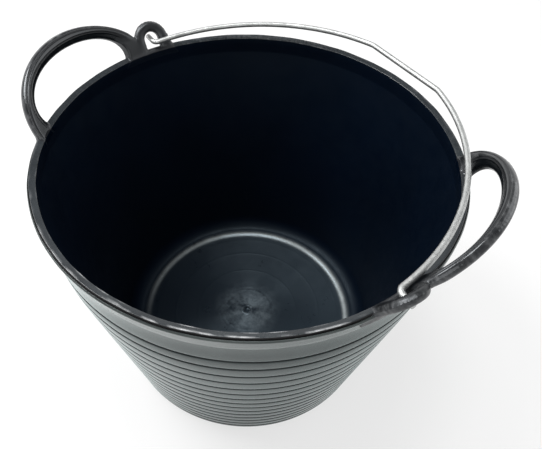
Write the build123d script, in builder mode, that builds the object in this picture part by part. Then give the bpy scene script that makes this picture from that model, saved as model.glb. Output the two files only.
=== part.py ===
"""A builders' bucket: a black rubber moulding with a grooved, flared wall, two loop handles that
stand up from the rim, two ears, and a wire bail that swings in the ears.

Millimetres. The origin is the middle of the base, +Z is up, and +X runs out through one of the two
loop handles. The bucket looks the same after half a turn about Z, apart from its bail, which lies
folded down.
"""

import os
from math import cos, radians, sin, sqrt

from build123d import *

# Bowl
rim_height = 253.0  # base to the inner edge of the lip
base_radius = 134.0  # outside of the wall at the base
collar_radius = 180.0  # outside of the plain band under the lip
collar_height = 15.2  # the band's lower edge, below the rim
wall_thickness = 5.0  # measured level
floor_thickness = 5.5
heel_radius = 19.0  # inside round between floor and wall
foot_chamfer = 1.5
gate_radius = 5.0  # moulding mark in the middle of the floor
gate_depth = 1.2

# Lip
shoulder_width = 2.0  # ledge between the collar and the lip
lip_width = 5.3
lip_crown = 2.1  # the lip's outer edge stands this much higher than its inner edge
lip_inner_depth = 5.0  # plain inner edge of the lip, above its run down into the wall
shoulder_drop = 0.2  # ledge outside the lip, below the rim

# Grooves round the wall, closer together towards the base
groove_first = 31.7  # below the rim
groove_pitch = 19.4  # from the first groove to the second
groove_pitch_ratio = 0.962  # each pitch over the one above it
groove_width = 1.8
groove_depth = 1.3
groove_foot = 7.0  # plain band above the base

# Flange that carries a loop handle and an ear, leaning out from the lip all round like a cone
flange_tilt = 59.5  # up from level, in degrees
flange_thickness = 8.3
flange_edge_radius = 3.2

# Loop handle
handle_half_width = 77.3
handle_reach = 48.7  # up the slope from the rim to the top of the loop
opening_half_width = 59.0
opening_reach = 35.6
opening_centre_rise = 3.7  # widest line of the opening, above the rim, on the slope

# Ear
ear_angle = -28.5  # from the middle of the handle, about Z
ear_radius = 17.2
ear_skirt = 3.2  # the side away from the handle flares by this much down to the rim
ear_blend_radius = 6.0  # hollow corners of the outline
ear_hole_radius = 7.3
ear_hole_edge_radius = 1.5
ear_hole_foot = 1.4  # flat bottom of the hole, above the rim, on the slope
ear_web_angle = 5.6  # where the ear meets the root of the handle, from the middle of the ear
ear_web_reach = 13.1  # height of the web between ear and handle, on the slope

# Bail
wire_diameter = 5.0
hinge_height = 8.8  # above the rim
bail_rest_tilt = 4.4  # lies this much above level when folded down
bail_clearance = 0.4  # between the folded wire and the ear that stops it
bail_leg_radius = 184.0
bail_grip_length = 85.0
bail_grip_inset = 2.7  # grip inside the lip's inner edge, when folded down
bail_elbow_radius = 5.0
bail_bend_radius = 12.0
bail_stub = 2.0  # end of the wire outside the ear
bail_end_chamfer = 0.6

# Worked out
collar_bottom = rim_height - collar_height
shoulder_height = rim_height - shoulder_drop
lip_height = rim_height + lip_crown
lip_outer_radius = collar_radius - shoulder_width
lip_inner_radius = lip_outer_radius - lip_width
wall_flare = (collar_radius - base_radius) / collar_bottom


def outside(height):
    """Radius of the wall's outside at a height above the base."""
    return base_radius + wall_flare * height


flange_sin = sin(radians(flange_tilt))
flange_cos = cos(radians(flange_tilt))
flange_across = flange_thickness / 2 / flange_sin
inner_foot_radius = outside(floor_thickness) - wall_thickness
wall_slope = sqrt(1 + wall_flare**2)
heel_tangent = heel_radius * (wall_slope - wall_flare)
floor_radius = inner_foot_radius - heel_tangent
flange_radius = lip_inner_radius + flange_across  # middle of the flange's thickness, at the rim
flange_round = min(flange_edge_radius, 0.4 * flange_thickness)  # leaves a flat between both rounds
flange_run = handle_reach + flange_thickness  # slope length of the blank that outlines are cut from
ear_centre = hinge_height / flange_sin
hinge_radius = flange_radius + ear_centre * flange_cos


def chord_drop(half_width):
    """How far the ends of a chord of the rim lie below its middle, seen square to the flange."""
    return (flange_radius - sqrt(flange_radius**2 - half_width**2)) * flange_cos


def slope_height(radius, across):
    """Height at a radius of the flange's face that lies this far out, measured level, from its middle."""
    return rim_height + (radius - flange_radius - across) * flange_sin / flange_cos


def turned_plane(turn):
    """Upright plane through the bucket's axis: x outwards at this angle, y up."""
    out = (cos(radians(turn)), sin(radians(turn)), 0)
    return Plane(origin=(0, 0, 0), x_dir=out, z_dir=(out[1], -out[0], 0))


def slope_plane(turn):
    """Plane of the flange at this angle: origin on the rim, x along the rim, y up the slope."""
    out = Vector(cos(radians(turn)), sin(radians(turn)), 0)
    along = Vector(-out.Y, out.X, 0)
    away = out * flange_sin - Vector(0, 0, flange_cos)
    return Plane(origin=out * flange_radius + Vector(0, 0, rim_height), x_dir=along, z_dir=away)


# Groove heights, from the rim down to the plain band at the foot
groove_heights = []
height = rim_height - groove_first
pitch = groove_pitch
while height > groove_foot and pitch > 2 * groove_width:
    groove_heights.append(height)
    height -= pitch
    pitch *= groove_pitch_ratio

# Outer line of the wall, from the base up, with a notch for each groove
wall_line = [(base_radius - foot_chamfer, 0), (outside(foot_chamfer), foot_chamfer)]
for height in reversed(groove_heights):
    low = height - groove_width / 2
    high = height + groove_width / 2
    wall_line.append((outside(low), low))
    wall_line.append((outside(height) - groove_depth, height))
    wall_line.append((outside(high), high))
wall_line.append((collar_radius, collar_bottom))
wall_line.append((collar_radius - wall_thickness, collar_bottom))

# Wall with the round heel that meets the floor
heel_top = floor_thickness + heel_tangent / wall_slope
with BuildPart() as bucket_wall:
    with BuildSketch(Plane.XZ):
        with BuildLine():
            Polyline(*wall_line)
            Line(wall_line[-1], (outside(heel_top) - wall_thickness, heel_top))
            RadiusArc(
                (outside(heel_top) - wall_thickness, heel_top),
                (floor_radius, floor_thickness),
                heel_radius,
            )
            Polyline((floor_radius, floor_thickness), (floor_radius, 0), wall_line[0])
        make_face()
    revolve(axis=Axis.Z)

# Floor, with the round moulding mark sunk into its middle
with BuildPart() as bucket_floor:
    Cylinder(floor_radius, floor_thickness, align=(Align.CENTER, Align.CENTER, Align.MIN))
    with Locations((0, 0, floor_thickness)):
        CounterSinkHole(gate_radius / 2, gate_radius, depth=gate_depth)

# Collar and lip
with BuildPart() as rim_collar:
    with BuildSketch(Plane.XZ):
        with BuildLine():
            Polyline(
                (collar_radius - wall_thickness, collar_bottom),
                (collar_radius, collar_bottom),
                (collar_radius, shoulder_height),
                (lip_outer_radius, shoulder_height),
                (lip_outer_radius, lip_height),
                (lip_inner_radius, rim_height),
                (lip_inner_radius, rim_height - lip_inner_depth),
                close=True,
            )
        make_face()
    revolve(axis=Axis.Z)

# Blank for a loop handle and its ear: part of a leaning cone, rooted between lip and collar
blank_start = ear_angle - 2 * ear_web_angle
blank_radius = flange_radius + flange_run * flange_cos
with BuildPart() as flange_blank:
    with BuildSketch(turned_plane(blank_start)):
        with BuildLine():
            Polyline(
                (lip_inner_radius, rim_height),
                (lip_outer_radius, slope_height(lip_outer_radius, flange_across)),
                (blank_radius, slope_height(blank_radius, flange_across)),
                (blank_radius, slope_height(blank_radius, -flange_across)),
                close=True,
            )
        make_face()
    revolve(axis=Axis.Z, revolution_arc=-2 * blank_start)

# Loop handle: an ellipse cut square to the flange, with the hand opening through it
web_plane = turned_plane(ear_angle + ear_web_angle)
handle_foot = chord_drop(handle_half_width)
with BuildPart() as side_handle_front:
    with BuildSketch(slope_plane(0).offset(-flange_run)):
        with Locations((0, -handle_foot)):
            Ellipse(handle_half_width, handle_reach + handle_foot)
        with Locations((0, opening_centre_rise)):
            Ellipse(opening_half_width, opening_reach - opening_centre_rise, mode=Mode.SUBTRACT)
    extrude(amount=2 * flange_run)
    add(flange_blank.part, mode=Mode.INTERSECT)
    fillet(side_handle_front.edges().sort_by(SortBy.LENGTH)[-4:], flange_round)
    split(bisect_by=web_plane, keep=Keep.BOTTOM)
    add(rim_collar.part, mode=Mode.SUBTRACT)
    add(bucket_wall.part, mode=Mode.SUBTRACT)

# Ear: a round top over a skirt, with a hole that is round above and flat below
ear_foot = -flange_run
ear_foot_width = ear_radius + ear_skirt * (ear_centre - ear_foot) / ear_centre
with BuildPart() as bail_ear_front:
    with BuildSketch(slope_plane(ear_angle).offset(-flange_thickness)) as ear_outline:
        with Locations((0, ear_centre)):
            Circle(ear_radius)
        Polygon(
            (-ear_radius, ear_centre),
            (-ear_foot_width, ear_foot),
            (ear_foot_width, ear_foot),
            (ear_foot_width, ear_web_reach),
            (0, ear_web_reach),
            align=None,
        )
        inner_corners = ear_outline.vertices().sort_by(Axis.X)[1:3]
        fillet(inner_corners, ear_blend_radius)
        with Locations((0, ear_centre)):
            Circle(ear_hole_radius, mode=Mode.SUBTRACT)
        with Locations((0, ear_hole_foot)):
            Rectangle(
                2 * ear_hole_radius,
                ear_centre - ear_hole_foot,
                align=(Align.CENTER, Align.MIN),
                mode=Mode.SUBTRACT,
            )
    extrude(amount=2 * flange_thickness)
    add(flange_blank.part, mode=Mode.INTERSECT)
    split(bisect_by=web_plane, keep=Keep.TOP)
    slopes = bail_ear_front.faces().filter_by(GeomType.CONE).sort_by(SortBy.AREA)[-2:]
    hole_edges = [edge for face in slopes for edge in face.inner_wires()[0].edges()]
    fillet(hole_edges, ear_hole_edge_radius)
    slopes = bail_ear_front.faces().filter_by(GeomType.CONE).sort_by(SortBy.AREA)[-2:]
    outer_edges = [edge for face in slopes for edge in face.outer_wire().edges()]
    straight_or_foot = (GeomType.LINE, GeomType.CIRCLE)
    fillet([edge for edge in outer_edges if edge.geom_type not in straight_or_foot], flange_round)
    add(rim_collar.part, mode=Mode.SUBTRACT)
    add(bucket_wall.part, mode=Mode.SUBTRACT)

# The same handle and ear on the far side, half a turn round
with BuildPart() as side_handle_rear:
    add(side_handle_front.part, rotation=(0, 0, 180))

with BuildPart() as bail_ear_rear:
    add(bail_ear_front.part, rotation=(0, 0, 180))

# Bail: folded down, its legs just clear of the ears that stop it
rest_sin = sin(radians(bail_rest_tilt))
rest_cos = cos(radians(bail_rest_tilt))
leg_height = hinge_height + ear_hole_radius * rest_sin
leg_gap = flange_thickness / 2 + wire_diameter / 2 + bail_clearance
half_span = flange_radius + (leg_height * flange_cos - leg_gap) / flange_sin
stub_end = hinge_radius + flange_across + bail_stub
half_grip = bail_grip_length / 2
hinge_out = Vector(cos(radians(ear_angle)), sin(radians(ear_angle)), 0)
bail_side = Vector(-hinge_out.Y, hinge_out.X, 0)
bail_plane = Plane(
    origin=(0, 0, rim_height + hinge_height),
    x_dir=hinge_out,
    z_dir=Vector(0, 0, rest_cos) - bail_side * rest_sin,
)
bail_forward = Axis(bail_plane.origin, bail_plane.y_dir)
bail_grip_reach = lip_inner_radius - bail_grip_inset
with BuildPart() as bail_wire:
    with BuildLine(bail_plane) as bail_path:
        Line((-stub_end, 0), (-half_span, 0))
        RadiusArc((-half_span, 0), (-half_grip, bail_grip_reach), bail_leg_radius)
        Line((-half_grip, bail_grip_reach), (half_grip, bail_grip_reach))
        RadiusArc((half_grip, bail_grip_reach), (half_span, 0), bail_leg_radius)
        Line((half_span, 0), (stub_end, 0))
        hinge_corners, grip_corners = bail_path.vertices().group_by(bail_forward)
        fillet(hinge_corners.sort_by_distance(bail_plane.origin)[:2], bail_elbow_radius)
        fillet(grip_corners, bail_bend_radius)
    with BuildSketch(bail_path.line ^ 0):
        Circle(wire_diameter / 2)
    sweep(path=bail_path.line)
    chamfer(bail_wire.faces().filter_by(GeomType.PLANE).edges(), bail_end_chamfer)

# Hand over
pieces = {
    "bucket_wall": bucket_wall,
    "bucket_floor": bucket_floor,
    "rim_collar": rim_collar,
    "side_handle_front": side_handle_front,
    "side_handle_rear": side_handle_rear,
    "bail_ear_front": bail_ear_front,
    "bail_ear_rear": bail_ear_rear,
    "bail_wire": bail_wire,
}
os.makedirs("parts", exist_ok=True)
for label, piece in pieces.items():
    piece.part.label = label
    export_step(piece.part, f"parts/{label}.step")
    print(label, round(piece.part.volume))
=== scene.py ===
# %% [markdown]
# # A builders' bucket in rubber and wire
#
# The bucket is one black rubber moulding: a flared bowl with thin grooves round it, two loop handles that
# lean out from the rim, and an ear beside each handle. A galvanised wire bail hangs in the ears.
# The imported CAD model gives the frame: metres, the origin in the middle of the base, +Z up, and +X out
# through one loop handle. Every piece made here takes the place of CAD nodes and rides on their body.

import bpy
import numpy as np
from mathutils import Matrix


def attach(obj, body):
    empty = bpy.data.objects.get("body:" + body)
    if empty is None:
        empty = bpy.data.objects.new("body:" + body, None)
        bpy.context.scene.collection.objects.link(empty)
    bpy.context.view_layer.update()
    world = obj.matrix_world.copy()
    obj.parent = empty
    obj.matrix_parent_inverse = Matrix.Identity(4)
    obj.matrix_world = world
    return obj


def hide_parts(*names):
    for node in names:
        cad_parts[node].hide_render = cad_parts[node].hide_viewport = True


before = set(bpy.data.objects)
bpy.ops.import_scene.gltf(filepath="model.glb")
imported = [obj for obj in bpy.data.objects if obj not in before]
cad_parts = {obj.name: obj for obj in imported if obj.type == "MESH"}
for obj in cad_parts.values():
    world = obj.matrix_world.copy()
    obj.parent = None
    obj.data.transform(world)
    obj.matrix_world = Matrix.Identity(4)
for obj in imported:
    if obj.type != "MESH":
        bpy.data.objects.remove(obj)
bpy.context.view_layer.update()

# %% [markdown]
# ## Two helpers for meshes
#
# Shapes are worked out in millimetres, because the sizes on a bucket are easy to read that way, and turned
# into metres when the mesh is made. A mesh could be built vertex by vertex with bmesh, but whole arrays are
# faster and show the formula better. Named numbers on the points, such as how worn an edge is, go along as
# attributes, and the materials read them.

# %% Mesh helpers
MM = 0.001


def put_piece(name, points, faces, marks):
    """An object from an array of points in millimetres, a list of faces and a dict of numbers per point."""
    mesh = bpy.data.meshes.new(name)
    mesh.from_pydata(points * MM, [], faces)
    for mark, values in marks.items():
        layer = mesh.attributes.new(mark, "FLOAT", "POINT")
        layer.data.foreach_set("value", np.ascontiguousarray(values, np.float32).ravel())
    mesh.polygons.foreach_set("use_smooth", np.ones(len(mesh.polygons), bool))
    mesh.validate()
    piece = bpy.data.objects.new(name, mesh)
    bpy.context.scene.collection.objects.link(piece)
    print(name, len(mesh.vertices), "points,", sum(len(f) - 2 for f in faces), "triangles")
    return piece


def unit(vectors):
    """Each vector divided by its own length."""
    return vectors / np.linalg.norm(vectors, axis=-1, keepdims=True)


# %% [markdown]
# ## The bowl's section
#
# The bowl is round, so half of its section, turned about Z, gives all of it: out along the floor, up the
# inside, over the lip, down the grooved outside and back along the underside. Blender's Screw modifier
# could turn such a line. Here the rings are computed, so that each ring can differ a little round the rim,
# as moulded rubber does. The sizes are those of the CAD model.

# %% Bowl sizes
rim_height, lip_crown, lip_width, shoulder_drop = 253.0, 2.1, 5.3, 0.2
base_radius, collar_radius, collar_height = 134.0, 180.0, 15.2
wall_thickness, floor_thickness, heel_radius = 5.0, 5.5, 19.0
lip_outer_radius = collar_radius - 2.0
lip_inner_radius = lip_outer_radius - lip_width
lip_inner_depth = 5.0
collar_bottom = rim_height - collar_height
wall_flare = (collar_radius - base_radius) / collar_bottom


def outside(height):
    """Radius of the wall's outside: a straight line from the base to the collar."""
    return base_radius + wall_flare * height


print("rim", 2 * collar_radius, "mm and base", 2 * base_radius, "mm across, flare", round(wall_flare, 4))

# %% [markdown]
# The floor carries the mark that the mould's gate left: a small crater with a raised edge, and faint rings
# round it where the rubber flowed out. Along its edge runs a low round bead, which catches the light as a
# bright ring. A bump in the material could show them. As heights in the section they are real shape, so
# the light finds them from any side.

# %% Floor line, from the middle outwards
heel_tangent = heel_radius * (np.sqrt(1 + wall_flare**2) - wall_flare)
floor_radius = outside(floor_thickness) - wall_thickness - heel_tangent
gate_depth, gate_radius = 1.9, 3.3
gate_edge_height, gate_edge_radius, gate_edge_spread = 0.55, 5.3, 1.1
flow_rings = np.array([27.0, 31.5, 56.0, 82.0, 103.0])
ring_heights, ring_spread = np.array([0.13, 0.07, 0.15, 0.16, 0.10]), 0.9
bead_radius, bead_height = floor_radius - 0.4, 1.35
bead_inward, bead_outward = 2.7, 5.0


def bell(x):
    """1 where x is 0, falling off smoothly to both sides: e to the power of minus x squared."""
    return np.exp(-(x**2))


def edge_bead(radius):
    """Height of the round bead at the floor's edge, a bell that is wider on the side of the wall."""
    across = radius - bead_radius
    return bead_height * bell(across / np.where(across < 0, bead_inward, bead_outward))


def floor_height(radius):
    """Floor thickness, less a gate crater that ends in a steep round side, plus the crater's raised edge,
    a narrow bell-shaped ridge at each flow ring, and the bead."""
    crater = gate_depth / (1 + (radius / gate_radius) ** 8)
    edge = gate_edge_height * bell((radius - gate_edge_radius) / gate_edge_spread)
    rings = ring_heights * bell((radius[:, None] - flow_rings) / ring_spread)
    return floor_thickness - crater + edge + rings.sum(1) + edge_bead(radius)


gate_rows = np.arange(0, 9.5, 0.6)
ring_rows = np.add.outer(flow_rings, ring_spread * np.arange(-2, 3)).ravel()
plain_rows = np.arange(13, bead_radius - 7, 9)
edge_rows = bead_radius - np.array([6.2, 5.0, 4.1, 3.3, 2.6, 2.0, 1.4, 0.8, 0.2])
floor_rows = np.unique(np.concatenate([gate_rows, ring_rows, plain_rows, edge_rows]).round(3))
floor_line = np.stack([floor_rows, floor_height(floor_rows)], 1)
print("floor radius", round(floor_radius, 2), "rows", len(floor_line))

# %% [markdown]
# The outside has thin grooves, closer together towards the base, and each band between two of them bulges
# slightly, which gives it a soft highlight at the sides. Under the collar the wall steps in and comes back
# out lower down, so the collar's lower edge stands free, and the upper grooves sit lower there. A boolean
# would cut sharp grooves. A bell taken off the radius gives the round shoulders of a moulding.

# %% Outer wall line, from the collar down to the foot
groove_depth, band_bulge, band_shoulder = 2.0, 0.25, 3.0
collar_step, step_reach = 3.9, 30.0
first_groove, first_pitch, pitch_ratio, groove_sink, lowest_groove = 31.7, 19.4, 0.962, 2.7, 7.0


def step_in(height):
    """How far the wall is set in under the collar: half a bell that is highest at the collar's lower edge."""
    return collar_step * bell((collar_bottom - height) / step_reach)


groove_pitches = first_pitch * pitch_ratio ** np.arange(40)
groove_heights = rim_height - first_groove - np.concatenate([[0], np.cumsum(groove_pitches)])
groove_heights = groove_heights[groove_heights > lowest_groove]
groove_heights = groove_heights - groove_sink * step_in(groove_heights)
groove_spread = np.interp(groove_heights, [0, rim_height], [0.75, 1.0])


def flat_bell(x):
    """As a bell, but flatter on top and steeper at its sides: e to the power of minus x to the fourth."""
    return np.exp(-(x**4))


def groove_share(height):
    """1 in the middle of a groove, falling off as a flat bell to 0 on the bands."""
    return flat_bell((height[:, None] - groove_heights) / groove_spread).sum(1)


def wall_radius(height):
    """Straight flare, less the step under the collar and the grooves, plus the bulge of each band."""
    nearest = np.abs(height[:, None] - groove_heights).min(1)
    bulge = band_bulge * (1 - bell(nearest / band_shoulder))
    return outside(height) - step_in(height) - groove_depth * groove_share(height) + bulge


groove_side = np.array([0.5, 0.85, 1.07, 1.35, 1.75, 3.4])
groove_stations = np.concatenate([-groove_side, [0], groove_side])
groove_rows = (groove_heights + np.multiply.outer(groove_stations, groove_spread)).ravel()
step_rows = collar_bottom - np.array([0.8, 2.0, 4.5, 8.0, 12.0, 16.5, 29.5, 32.0, 45.0, 49.5])
foot_row = 2.6
wall_rows = np.sort(np.concatenate([groove_rows, step_rows, [foot_row]]))[::-1]
wall_line = np.stack([wall_radius(wall_rows), wall_rows], 1)
print("grooves", len(groove_heights), "rows", len(wall_line))

# %% [markdown]
# The lip's top slopes up to its outer edge. A narrow channel, which reads as a thin dark line from above,
# separates it from the collar, and the collar leans in towards its lower edge. Rubber leaves a mould with
# soft edges, and those edges catch the light, so every corner is rounded. A Bevel modifier rounds all
# edges alike. Arcs worked out on the line give each corner its own radius.

# %% Line helpers
def arc(middle, radius, start, stop, steps):
    """Points on a circle between two angles."""
    turn = np.linspace(start, stop, steps)
    return middle + radius * np.stack([np.cos(turn), np.sin(turn)], 1)


def rounded_line(corners, steps):
    """The line through corners given as radius, height and rounding, each inner corner swapped for an arc
    that touches both of its sides. The arc's middle lies on the corner's bisector, at the rounding over
    the sine of half the corner."""
    corners = np.asarray(corners, float)
    corners, rounding = corners[:, :2], corners[1:-1, 2:]
    back = unit(corners[:-2] - corners[1:-1])
    ahead = unit(corners[2:] - corners[1:-1])
    half = np.arccos(np.clip((back * ahead).sum(1, keepdims=True), -1, 1)) / 2
    middle = corners[1:-1] + unit(back + ahead) * rounding / np.sin(half)
    first = corners[1:-1] + back * rounding / np.tan(half) - middle
    last = corners[1:-1] + ahead * rounding / np.tan(half) - middle
    sweep = (np.pi - 2 * half)[:, None]
    share = np.linspace(0, 1, steps)[None, :, None]
    arcs = np.sin((1 - share) * sweep) * first[:, None] + np.sin(share * sweep) * last[:, None]
    arcs = middle[:, None] + arcs / np.sin(sweep)
    return np.concatenate([corners[:1], arcs.reshape(-1, 2), corners[-1:]])


def run_along(line):
    """How far along a line each of its points lies: the sum of the stretches before it."""
    return np.concatenate([[0], np.cumsum(np.linalg.norm(np.diff(line, axis=0), axis=1))])


def with_steps(line, longest):
    """The same line with points added, so that no stretch is much longer than the given length."""
    run = run_along(line)
    stations = np.arange(longest / 2, run[-1], longest)
    gap = np.abs(stations[:, None] - run[None]).min(1)
    stations = np.sort(np.concatenate([run, stations[gap > longest / 3]]))
    return np.stack([np.interp(stations, run, line[:, k]) for k in (0, 1)], 1)


# %% Whole section
heel_middle = [floor_radius, floor_thickness + heel_radius]
heel_arc = arc(heel_middle, heel_radius, -np.pi / 2, -np.arctan(wall_flare), 28)
heel_arc[:, 1] += edge_bead(heel_arc[:, 0])
shoulder, collar_lean = rim_height - shoulder_drop, 3.7
channel_bottom, channel_side = shoulder - 0.8, lip_outer_radius + 0.7
rim_corners = [
    (*heel_arc[-1], 0),
    (lip_inner_radius + 0.6, collar_bottom, 12.0),
    (lip_inner_radius, rim_height - lip_inner_depth, 4.0),
    (lip_inner_radius, rim_height, 0.6),
    (lip_outer_radius, rim_height + lip_crown, 0.6),
    (lip_outer_radius, channel_bottom, 0.3),
    (channel_side, channel_bottom, 0.3),
    (channel_side, shoulder + 0.6, 0.3),
    (collar_radius - 0.6, shoulder - 0.1, 0.5),
    (collar_radius, shoulder - 1.2, 1.6),
    (collar_radius - collar_lean, collar_bottom, 1.7),
    (*wall_line[0], 0),
]
arc_steps, inside_step, rim_step = 7, 9.0, 1.1
rim_line = rounded_line(rim_corners, arc_steps)
lip_row = 1 + 2 * arc_steps
inside_line = with_steps(rim_line[: lip_row + 1], inside_step)
rim_line = np.concatenate([inside_line[:-1], with_steps(rim_line[lip_row:], rim_step)])
foot_edge = 1.5
foot_line = [(outside(foot_edge), foot_edge), (base_radius - foot_edge, 0), (base_radius - 6, 0)]
foot_line += [(80, 0), (30, 0), (0, 0)]
zone_lines = [floor_line, heel_arc[:-1], rim_line[:-1], wall_line, foot_line]
floor_zone, heel_zone, rim_zone, wall_zone = range(4)
bowl_line = np.concatenate(zone_lines)
bowl_zone = np.repeat(np.arange(5), [len(line) for line in zone_lines])
print("section rows", len(bowl_line), "in zones of", np.bincount(bowl_zone))

# %% [markdown]
# ## The bowl's surface
#
# Each ring is the section's radius turned through a full circle. The lip isn't quite even: rubber shrinks
# as it cures and the parting line is trimmed by hand, so a sum of a few slow waves moves the lip in and
# out and up and down by a fraction of a millimetre. That is what breaks up the highlight along a real rim.

# %% Turn the section into the bowl
bowl_columns = 240
lip_uneven_in, lip_uneven_up = 0.22, 0.16


def rim_wave(turn, seed, counts=(3, 7, 12, 19, 26, 37)):
    """A smooth uneven line round a full turn, between about -1 and 1: sines of whole counts per turn."""
    counts = np.asarray(counts)
    phase = np.random.default_rng(seed).uniform(0, 2 * np.pi, len(counts))
    return np.sin(np.multiply.outer(turn, counts) + phase).sum(-1) / np.sqrt(2 * len(counts))


def closed_rings(rings, other_way):
    """Points and faces of rings that follow each other: quads between neighbours, and the first and last
    ring taken as one point each, with triangles round it. The faces can run the other way round."""
    rows, columns = rings.shape[0] - 2, rings.shape[1]
    points = np.concatenate([rings[0, :1], rings[1:-1].reshape(-1, 3), rings[-1, :1]])
    index = 1 + np.arange(rows * columns).reshape(rows, columns)
    after, pole = np.roll(index, -1, 1), 0 * index[0]
    quads = np.stack([index[:-1], index[1:], after[1:], after[:-1]], -1).reshape(-1, 4)
    first = np.stack([pole, index[0], after[0]], -1)
    last = np.stack([pole + len(points) - 1, after[-1], index[-1]], -1)
    faces = [quads, first, last]
    if other_way:
        faces = [np.concatenate([f[:, :1], f[:, :0:-1]], 1) for f in faces]
    return points, [face for f in faces for face in f.tolist()]


bowl_turn = np.arange(bowl_columns) * 2 * np.pi / bowl_columns
radius_row, height_row = bowl_line[:, :1], bowl_line[:, 1:]
on_rim = (bowl_zone == rim_zone)[:, None]
lip_share = np.clip((height_row - shoulder + 3) / 4, 0, 1) * on_rim
bowl_radius = radius_row + lip_uneven_in * lip_share * rim_wave(bowl_turn, 3)
bowl_height = height_row + lip_uneven_up * lip_share * rim_wave(bowl_turn, 8)
bowl_rings = np.stack([bowl_radius * np.cos(bowl_turn), bowl_radius * np.sin(bowl_turn), bowl_height], -1)
bowl_points, bowl_faces = closed_rings(bowl_rings, False)
print("lip uneven by", np.ptp(bowl_radius - radius_row).round(2), "mm")

# %% [markdown]
# Painted shade lies in the grooves and in the channel, dust on the floor and round the gate, with more of it
# on the lit side as painted light, and a pale ring along the bead, dust with a painted highlight. Such places
# could be painted by hand. They all follow the section, so here each is a formula in radius, height and
# turn, kept as one number per point.

# %% Where painted shade, dust, painted light and film lie
dust_reach, dust_fade, gate_dust_outer, gate_dust_inner = floor_radius + 8, 10.0, 30.0, 3.6
bead_ring_shift, bead_ring_inward, bead_ring_outward = 1.6, 2.0, 3.0
bright_side, bead_highlight_side = np.radians(27.0), np.radians(88.0)
outer_row = (np.arange(len(bowl_line)) > np.argmax(bowl_line[:, 1]))[:, None]
on_floor, low_inside = (bowl_zone == floor_zone)[:, None], (bowl_zone <= heel_zone)[:, None]
groove_row = np.where(bowl_zone == wall_zone, groove_share(bowl_line[:, 1]), 0)[:, None]
past_lip, past_shoulder = radius_row - lip_outer_radius, height_row - shoulder
# Painted shade: the channel and the lip's outer side are marked to draw the thin dark line under the lip.
in_channel = (np.abs(past_lip - 0.35) < 0.45) & (np.abs(past_shoulder - 0.1) < 1.3)
lip_outer_side = (past_lip > -0.15) & (past_lip < 0.6) & (past_shoulder > 0)
channel_row = ((in_channel & outer_row) | lip_outer_side) & on_rim
floor_row = np.where(low_inside, np.clip((dust_reach - radius_row) / dust_fade, 0, 1), 0)
# More dust towards the brightly lit side, which paints that light into the floor's colour.
painted_light_side = 0.60 + 0.40 * np.clip(radius_row / 85, 0, 1) * np.cos(bowl_turn - bright_side)
gate_row = flat_bell(radius_row / gate_dust_outer) - flat_bell(radius_row / gate_dust_inner)
# The pale ring on the bead: dust with a painted highlight, brightest on the side where the lamps' highlight
# falls.
bead_side = radius_row - bead_radius + bead_ring_shift
bead_dust_and_highlight = bell(bead_side / np.where(bead_side < 0, bead_ring_inward, bead_ring_outward)) * low_inside
bead_dust_and_highlight = bead_dust_and_highlight * (0.4 + 0.6 * np.cos(bowl_turn - bead_highlight_side)).clip(0.1, 1)
bowl_marks = {
    "groove_shade": np.maximum(groove_row, channel_row),
    "floor_dust_and_painted_light": floor_row * painted_light_side,
    "gate_dust": np.where(on_floor, gate_row, 0),
    "bead_dust_and_highlight": bead_dust_and_highlight,
    "collar_film_and_sheen": on_rim * outer_row * np.clip((shoulder - height_row) / 3, 0, 1),
    "tool_run": radius_row * MM,
}
print("rows in the channel", channel_row.sum(), "and in grooves", (groove_row > 0.5).sum())

# %% [markdown]
# The lip's edges are pale in lengths of a few centimetres with black between them: partly rubbed wear,
# partly painted highlight. The collar's lower edge gets a painted highlight line too. Noise alone would put
# them on every side alike. A bell round the side that faces the camera, times waves round the rim, keeps
# them on that side and off the roots of the handles.

# %% Where edges are rubbed and painted with highlight
camera_side_turn, camera_side_spread = np.radians(-62.0), 0.12
handle_turn, handle_half_turn, handle_fade = 5.2, 31.0, 5.0
camera_side = np.exp(-((np.cos(bowl_turn - camera_side_turn) - 1) ** 2) / camera_side_spread)
beside_handle = np.abs((np.degrees(bowl_turn) + handle_turn + 90) % 180 - 90)
free_rim = np.clip((beside_handle - handle_half_turn) / handle_fade, 0, 1)


def pale_edge_line(radius, height, reach):
    """1 along a line near a corner of the section, falling off as a flat bell over the reach."""
    return flat_bell(np.hypot(radius_row - radius, height_row - height) / reach) * on_rim


def pale_edge_lengths(seed, share):
    """1 where an edge is pale, from rubbing and painted highlight, and 0 where it isn't: waves round the rim,
    lifted by the share, most on the side that faces the camera, and none at the handles."""
    waves = 1.6 * rim_wave(bowl_turn, seed, (9, 17, 25, 38, 51, 64))
    return np.clip(waves + share, 0, 1) * (0.15 + 0.85 * camera_side) * free_rim


wander = 0.45 * rim_wave(bowl_turn, 21, (11, 19, 27, 41, 58))
outer_edge = lip_outer_radius - 0.9 + wander
outer_edge_height = rim_height + lip_crown * (outer_edge - lip_inner_radius) / lip_width
inner_wear_and_highlight = pale_edge_line(lip_inner_radius + 0.3, rim_height + 0.1, 0.6) * pale_edge_lengths(5, -0.3)
outer_wear_and_highlight = pale_edge_line(outer_edge, outer_edge_height, 0.75) * pale_edge_lengths(11, 0.4)
# The collar's lower edge gets a pale line: a painted highlight.
collar_edge_highlight = pale_edge_line(collar_radius - collar_lean + 0.1, collar_bottom + 0.9, 1.1) * pale_edge_lengths(17, 0.9)
bowl_marks["edge_wear_and_highlight"] = np.maximum.reduce([inner_wear_and_highlight, outer_wear_and_highlight, 0.25 * collar_edge_highlight])
print("share of the lip rubbed", (outer_wear_and_highlight.max(0) > 0.3).mean().round(2))

# %% [markdown]
# The mesh is made with these numbers on it, and its faces are told which rubber they have by their row in
# the section: inside 0, outside 1, lip 2, floor 3 and collar 4. One material could cover all of it, but the
# gloss of the five differs, and that has to be set on each shader.

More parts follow.
